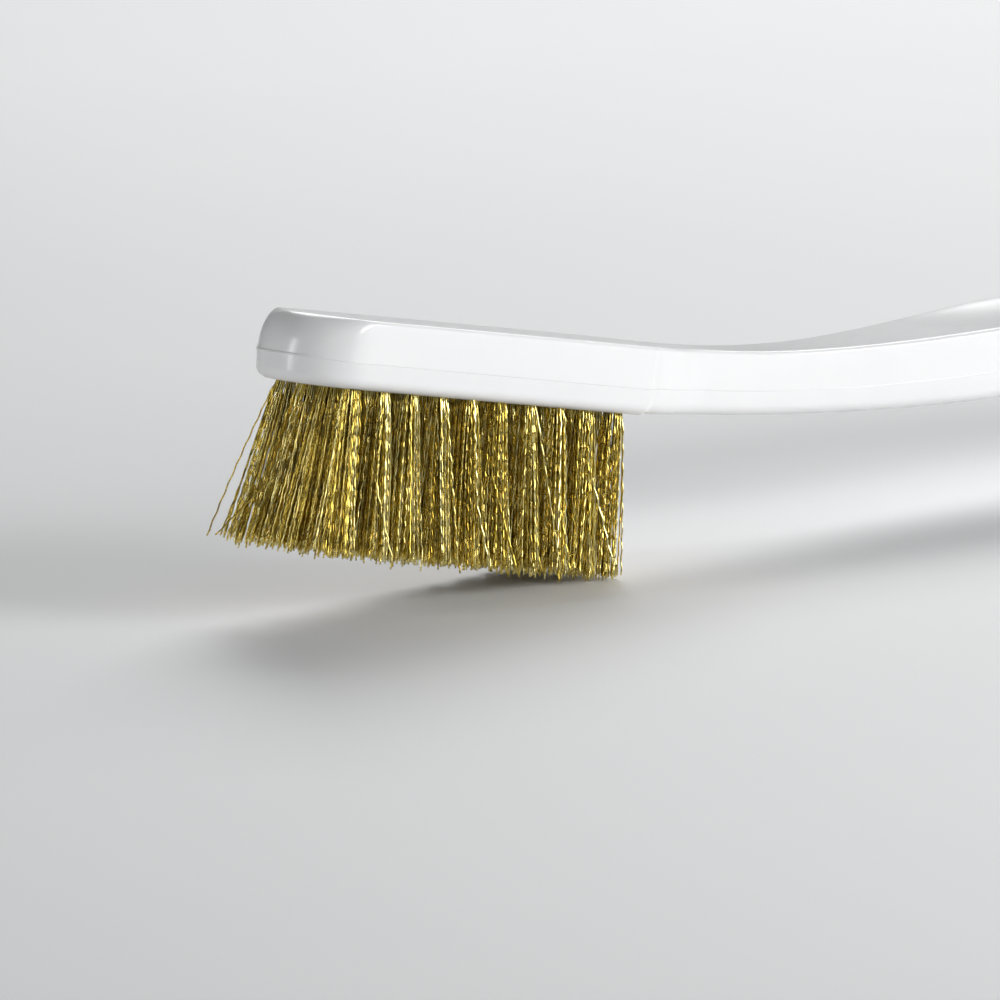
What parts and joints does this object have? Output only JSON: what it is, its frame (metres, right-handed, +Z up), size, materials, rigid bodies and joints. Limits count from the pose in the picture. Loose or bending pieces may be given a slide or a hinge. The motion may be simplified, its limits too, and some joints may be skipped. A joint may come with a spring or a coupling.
{
  "type": "wire hand brush",
  "caption": "Slim toothbrush-style wire brush: white moulded handle, long narrow head with four rows of ten tufts of crimped brass wire, hanging hole in the tail.",
  "frame": {"origin": "middle of the base of the box round the brush in its resting pose, on the surface that it rests on", "axes": "+X along the brush from the nose towards the tail, +Z up, +Y across the head; the head is tilted nose-up by 11 degrees, because the brush rests on the tips of its heel tufts and on the end of its handle"},
  "size_m": [0.178, 0.0136, 0.0291],
  "materials": {
    "white_plastic": "semi-gloss moulded white plastic",
    "brass_wire": "bright drawn crimped brass wire"
  },
  "bodies": {
    "root": {"handle": "white_plastic", "tuft_near_01": "brass_wire", "tuft_near_02": "brass_wire", "tuft_near_03": "brass_wire", "tuft_near_04": "brass_wire", "tuft_near_05": "brass_wire", "tuft_near_06": "brass_wire", "tuft_near_07": "brass_wire", "tuft_near_08": "brass_wire", "tuft_near_09": "brass_wire", "tuft_near_10": "brass_wire", "tuft_near_middle_01": "brass_wire", "tuft_near_middle_02": "brass_wire", "tuft_near_middle_03": "brass_wire", "tuft_near_middle_04": "brass_wire", "tuft_near_middle_05": "brass_wire", "tuft_near_middle_06": "brass_wire", "tuft_near_middle_07": "brass_wire", "tuft_near_middle_08": "brass_wire", "tuft_near_middle_09": "brass_wire", "tuft_near_middle_10": "brass_wire", "tuft_far_middle_01": "brass_wire", "tuft_far_middle_02": "brass_wire", "tuft_far_middle_03": "brass_wire", "tuft_far_middle_04": "brass_wire", "tuft_far_middle_05": "brass_wire", "tuft_far_middle_06": "brass_wire", "tuft_far_middle_07": "brass_wire", "tuft_far_middle_08": "brass_wire", "tuft_far_middle_09": "brass_wire", "tuft_far_middle_10": "brass_wire", "tuft_far_01": "brass_wire", "tuft_far_02": "brass_wire", "tuft_far_03": "brass_wire", "tuft_far_04": "brass_wire", "tuft_far_05": "brass_wire", "tuft_far_06": "brass_wire", "tuft_far_07": "brass_wire", "tuft_far_08": "brass_wire", "tuft_far_09": "brass_wire", "tuft_far_10": "brass_wire"}
  },
  "joints": []
}
